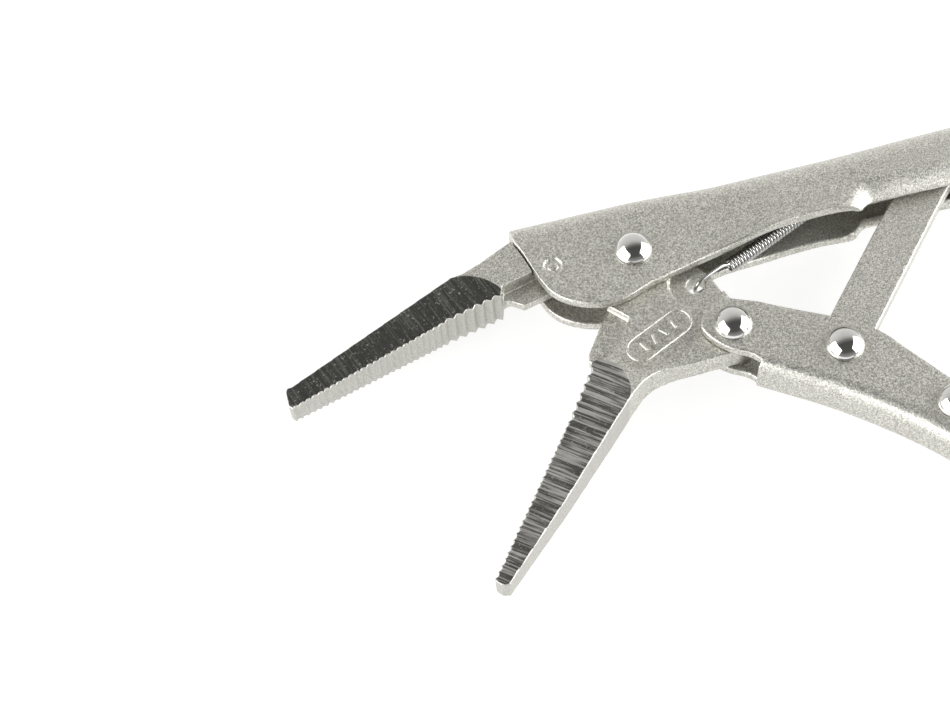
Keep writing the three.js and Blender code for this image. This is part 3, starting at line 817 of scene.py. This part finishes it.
def spring_mesh():
    """A close-wound coil with a hook through the jaw and one behind the handle's tab.

    Its points are written along the line from the eye to the anchor, in millimetres.
    """
    eye, anchor = Vector((*SPRING_EYE, 0)), Vector((*SPRING_ANCHOR, 0))
    axis = (anchor - eye).normalized()
    side = Vector((-axis.y, axis.x, 0))
    reach = (anchor - eye).length
    start, end = COIL_START, reach - COIL_END
    mean = COIL_RADIUS - WIRE / 2
    depth = LUG / 2 + HOOK_GAP + WIRE / 2

    def place(x, y, z):
        p = eye + axis * x + side * y
        return at(p.x, p.y, z)

    path = smooth_line([
        (2.6, 0, -depth), (0.6, 0, -depth + 0.6), (-0.2, 0, 0), (0.6, 0, depth - 0.6),
        (3, 0, depth), (start - 2.0, 0, depth - 0.2), (start - 0.3, -0.1, mean + 0.25),
    ], HOOK_POINTS)
    for i in range(TURNS * TURN_POINTS + 1):
        share = i / (TURNS * TURN_POINTS)
        a = 2 * math.pi * TURNS * share
        x = start + WIRE * 0.6 + (end - start - WIRE * 1.2) * share
        path.append(np.array((x, -mean * math.sin(a), mean * math.cos(a))))
    path += smooth_line([
        (end + 0.2, -0.1, mean + 0.2), (end + 1.2, 0, 2.4), (reach + 0.1, 0, 2.2),
        (reach + 0.35, 0, 1.2), (reach + 0.3, 0, 0), (reach + 0.2, 0, -1.4),
    ], HOOK_POINTS)
    wire = swept([place(*p) for p in path], WIRE / 2 * MM, WIRE_SIDES)
    return finish_mesh(wire, "spring"), place(0, 0, 0), place(reach, 0, 0)


# ------------------------------------------------------------------ pieces

# the way each nose points, and the moving jaw's turn from closed to open
NOSE_FIXED = math.radians(180 + 18.8)
NOSE_MOVING = math.radians(180 + 48.9)
OPEN = math.radians(41.5)


def turned_point(x, y, angle):
    """A point turned about the main pivot."""
    c, s = math.cos(angle), math.sin(angle)
    return x * c - y * s, x * s + y * c


BADGE_AXIS = ((-18.6, -13.7), (-9.4, -16.4))     # ends of its centre line, jaws closed
BADGE_RADIUS = 2.75
BADGE_SINK = 0.12
BADGE_RIM = (0.62, 0.33966)     # width and height of a raised line
BADGE_BAR = (0.66, 0.2997)
# place along the centre line, lean and half length of each bar
BADGE_BARS = ((0.08, 0.0, 1.15), (0.36, 0.35, 1.25), (0.62, -0.3, 1.2), (0.90, 0.15, 1.0))
BEAD_STEPS = 8


def add_bead(work, points, size, face, closed):
    """Adds a half-round raised line along points of the face at a given height."""
    width, height = size
    rows = []
    for i, point in enumerate(points):
        before = points[i - 1] if i else (points[-2] if closed else point)
        after = points[i + 1] if i + 1 < len(points) else (points[1] if closed else point)
        ahead = (after - before).normalized()
        across = Vector((-ahead.y, ahead.x, 0))
        row = []
        for k in range(BEAD_STEPS + 1):
            a = math.pi * k / BEAD_STEPS
            p = point + across * math.cos(a) * width / 2
            row.append(work.verts.new(at(p.x, p.y, face - BADGE_SINK + height * math.sin(a))))
        rows.append(row)
    for a, b in zip(rows, rows[1:]):
        for k in range(BEAD_STEPS):
            work.faces.new((a[k], a[k + 1], b[k + 1], b[k]))
        work.faces.new((a[BEAD_STEPS], a[0], b[0], b[BEAD_STEPS]))
    if not closed:
        work.faces.new(rows[0])
        work.faces.new(rows[-1])


def badge_mesh(face):
    """An oval raised rim with four plain bars in it, on the near face of the moving jaw."""
    ends = [Vector((*turned_point(x, y, OPEN), 0)) for x, y in BADGE_AXIS]
    along = (ends[1] - ends[0]).normalized()
    side = Vector((-along.y, along.x, 0))
    outline = []
    for end, way in ((ends[1], 1), (ends[0], -1)):
        for k in range(25):
            a = math.pi * (k / 24 - 0.5)
            spoke = along * math.cos(a) + side * math.sin(a)
            outline.append(end + spoke * BADGE_RADIUS * way)
    outline.append(outline[0])
    work = bmesh.new()
    add_bead(work, outline, BADGE_RIM, face, True)
    for share, lean, length in BADGE_BARS:
        centre = ends[0].lerp(ends[1], share)
        way = (side + along * lean).normalized()
        bar = [centre + way * length * (2 * k / 8 - 1) for k in range(9)]
        add_bead(work, bar, BADGE_BAR, face, False)
    bmesh.ops.remove_doubles(work, verts=work.verts, dist=1e-7)
    return finish_mesh(work, "badge")


nickel = satin_nickel("satin_nickel")
nickel_pressed = satin_nickel("satin_nickel_pressed", 0.97)
rivet_chrome = polished("polished_rivet", (0.74, 0.735, 0.72), 0.05)
spring_steel = polished("spring_wire", (0.50, 0.50, 0.49), 0.14, 0.5)
thread_steel = screw_steel("threaded_steel")
# For each jaw, broad lighter and darker patches on its ground faces are painted highlight, of the
# spread given below.
fixed_steel = jaw_steel(
    "fixed_jaw_steel", centre=at(-37.4, -6.4), radius=0.0105, axis_turn=NOSE_FIXED,
    pitch=0.00042, ridge=0.45, dark=(0.070, 0.072, 0.066), light=(0.20, 0.20, 0.187),
    contrast=(0.50, 0.66), painted_sheen=0.02, relief=2.0,
)
moving_steel = jaw_steel(
    "moving_jaw_steel", centre=at(*turned_point(-31.7, -10.6, OPEN)), radius=0.0077,
    axis_turn=NOSE_MOVING, pitch=0.00040, ridge=0.62, dark=(0.13, 0.13, 0.122),
    light=(0.62, 0.61, 0.58), contrast=(0.46, 0.60), painted_sheen=0.05, relief=3.2,
)


def keep(piece, body, node):
    """Says which body a piece rides and which CAD node it replaces."""
    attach(piece, body)
    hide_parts(node)


TAB_LOW = (43.7, 4.5, -1.5)
TAB_HIGH = (45.0, handle_top(44.4) - 1.6, 1.5)

keep(
    add_object("upper_handle_sheet", upper_handle(), [nickel]),
    "upper_body", "upper_handle",
)
keep(
    add_object("spring_tab", rounded_block("spring_tab", TAB_LOW, TAB_HIGH, 0.3), [nickel]),
    "upper_body", "upper_handle",
)
keep(
    worn_copy("fixed_jaw", "fixed_jaw_forging", fixed_steel, voxel=0.00018, rounds=2),
    "upper_body", "fixed_jaw",
)
keep(
    worn_copy("moving_jaw", "moving_jaw_forging", moving_steel, voxel=0.00022, rounds=2),
    "moving_jaw", "moving_jaw",
)
JAW_FACE = (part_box("moving_jaw")[1].z - MAIN.z) / MM
keep(
    add_object("badge", badge_mesh(JAW_FACE), [nickel]),
    "moving_jaw", "moving_jaw",
)
keep(
    worn_copy(
        "lower_handle", "lower_handle_sheet", nickel_pressed,
        voxel=0.00026, rounds=4, face_share=0.5,
    ),
    "lower_handle", "lower_handle",
)
keep(
    worn_copy("toggle_link", "toggle_link_bar", nickel, voxel=0.00022, rounds=4),
    "toggle_link", "toggle_link",
)
keep(
    worn_copy("release_lever", "release_lever_strip", nickel, voxel=0.0002, rounds=4),
    "release_lever", "release_lever",
)
keep(
    add_object("jaw_pin", pin_mesh(), [nickel]),
    "upper_body", "fixed_jaw_pin",
)

# half widths over the sheets that each rivet's heads sit on
UPPER_SEAT = HALF_FRONT
LOWER_SEAT = 5.1
for node, centre, seat, body in (
    ("main_pivot_rivet", MAIN, UPPER_SEAT, "upper_body"),
    ("jaw_handle_rivet", JAW_HANDLE, LOWER_SEAT, "lower_handle"),
    ("link_rivet", LINK, LOWER_SEAT, "lower_handle"),
    ("lever_rivet", LEVER, LOWER_SEAT, "lower_handle"),
):
    name = node + "_dome"
    rivet = add_object(name, rivet_mesh(name, centre, seat), [rivet_chrome])
    keep(rivet, body, node)

keep(
    add_object("screw_thread", screw_mesh(), [thread_steel]),
    "screw", "adjusting_screw",
)
keep(add_object("knob_grip", knob_mesh(), [nickel]), "knob", "adjusting_knob")

mesh, eye, anchor = spring_mesh()
spring = add_object("spring_coil", mesh, [spring_steel])
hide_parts("tension_spring")
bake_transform(spring)


# ------------------------------------------------------------------ floor, light


PAPER_GLOW = 0.80           # light that comes through the table from below
PAPER_DARK = (0.24, 0.24, 0.24)
PAPER_LIGHT = (0.28, 0.28, 0.28)
PAPER_FIBRES = 300.0        # cells per metre
PAPER_RELIEF = 0.00002
PAPER_HALF = 1.6
PAPER_DROP = 0.00005        # below the tool's lowest point


def add_floor():
    n = Nodes("paper")
    fibres = n.noise(n.coordinates.outputs["Object"], PAPER_FIBRES, 4.0, 0.6)
    color = n.mix(fibres, PAPER_DARK, PAPER_LIGHT)
    material = n.finish(color, 0.9, n.bump(fibres, PAPER_RELIEF), metallic=0.0)
    n.put(n.shader.inputs["Emission Color"], (1.0, 1.0, 0.99, 1))
    n.put(n.shader.inputs["Emission Strength"], PAPER_GLOW)
    work = bmesh.new()
    bmesh.ops.create_grid(work, x_segments=2, y_segments=2, size=PAPER_HALF)
    mesh = finish_mesh(work, "paper_floor")
    floor = add_object("paper_floor", mesh, [material], smooth=False)
    floor.location.z = -PAPER_DROP


add_floor()

TARGET = at(5, -10)
SOFTBOX_SIZE = (1.15, 0.72)
SOFTBOX_AWAY = 0.9
SOFTBOX_RISE = 23
SOFTBOX_RADIANCE = 4.9
PAPER_FILL = 3.0
FILL_SIZE = (2.4, 2.4)
FILL_AWAY = 1.2


def softbox(name, direction, distance, size, power):
    """A rectangular lamp that looks at the tool from (azimuth, elevation) in degrees."""
    azimuth, elevation = (math.radians(v) for v in direction)
    way = Vector((
        math.cos(elevation) * math.sin(azimuth),
        -math.cos(elevation) * math.cos(azimuth),
        math.sin(elevation),
    ))
    lamp = bpy.data.lights.new(name, "AREA")
    lamp.shape = "RECTANGLE"
    lamp.size, lamp.size_y = size
    lamp.energy = power
    item = bpy.data.objects.new(name, lamp)
    item.location = TARGET + way * distance
    item.rotation_euler = (-way).to_track_quat("-Z", "Y").to_euler()
    bpy.context.scene.collection.objects.link(item)
    return item


def studio_lamps():
    """Two low softboxes beside the tool, with a dark gap between them in the domes, and a fill."""
    width, height = SOFTBOX_SIZE
    power = SOFTBOX_RADIANCE * math.pi * (width * height)
    for name, azimuth in (("softbox_left", -78), ("softbox_right", 74)):
        softbox(name, (azimuth, SOFTBOX_RISE), SOFTBOX_AWAY, SOFTBOX_SIZE, power)
    fill = softbox("paper_fill", (0, 89.9), FILL_AWAY, FILL_SIZE, PAPER_FILL)
    fill.visible_glossy = False


studio_lamps()

# degrees from the far horizon over the top to the one behind the camera, and the light there
ROOM = (
    (0, 0.92), (30, 0.80), (54, 0.68), (68, 0.50), (82, 0.22), (98, 0.09), (150, 0.10), (180, 0.40),
)
ROOM_TINT = (1.0, 0.99, 0.965)


def add_world():
    """The room the steel mirrors: light behind the tool, dark overhead; white to the camera."""
    world = bpy.data.worlds.new("studio")
    bpy.context.scene.world = world
    world.use_nodes = True
    tree = world.node_tree
    tree.nodes.clear()
    new, link = tree.nodes.new, tree.links.new
    split = new("ShaderNodeSeparateXYZ")
    link(new("ShaderNodeTexCoord").outputs["Generated"], split.inputs[0])
    angle = new("ShaderNodeMath")
    angle.operation = "ARCTAN2"
    link(split.outputs[2], angle.inputs[0])
    link(split.outputs[1], angle.inputs[1])
    share = new("ShaderNodeMath")
    share.operation = "DIVIDE"
    share.inputs[1].default_value = math.pi
    link(angle.outputs[0], share.inputs[0])
    ramp = new("ShaderNodeValToRGB")
    link(share.outputs[0], ramp.inputs[0])
    while len(ramp.color_ramp.elements) < len(ROOM):
        ramp.color_ramp.elements.new(0.5)
    for element, (degrees, value) in zip(ramp.color_ramp.elements, ROOM):
        element.position = degrees / 180
        element.color = (*toned(ROOM_TINT, value), 1)
    surround = new("ShaderNodeBackground")
    surround.inputs["Strength"].default_value = 1.0
    link(ramp.outputs[0], surround.inputs[0])
    paper = new("ShaderNodeBackground")
    paper.inputs[0].default_value = (1, 1, 1, 1)
    choose = new("ShaderNodeMixShader")
    link(new("ShaderNodeLightPath").outputs["Is Camera Ray"], choose.inputs[0])
    link(surround.outputs[0], choose.inputs[1])
    link(paper.outputs[0], choose.inputs[2])
    link(choose.outputs[0], new("ShaderNodeOutputWorld").inputs[0])


add_world()
bpy.context.scene.view_settings.view_transform = "Standard"
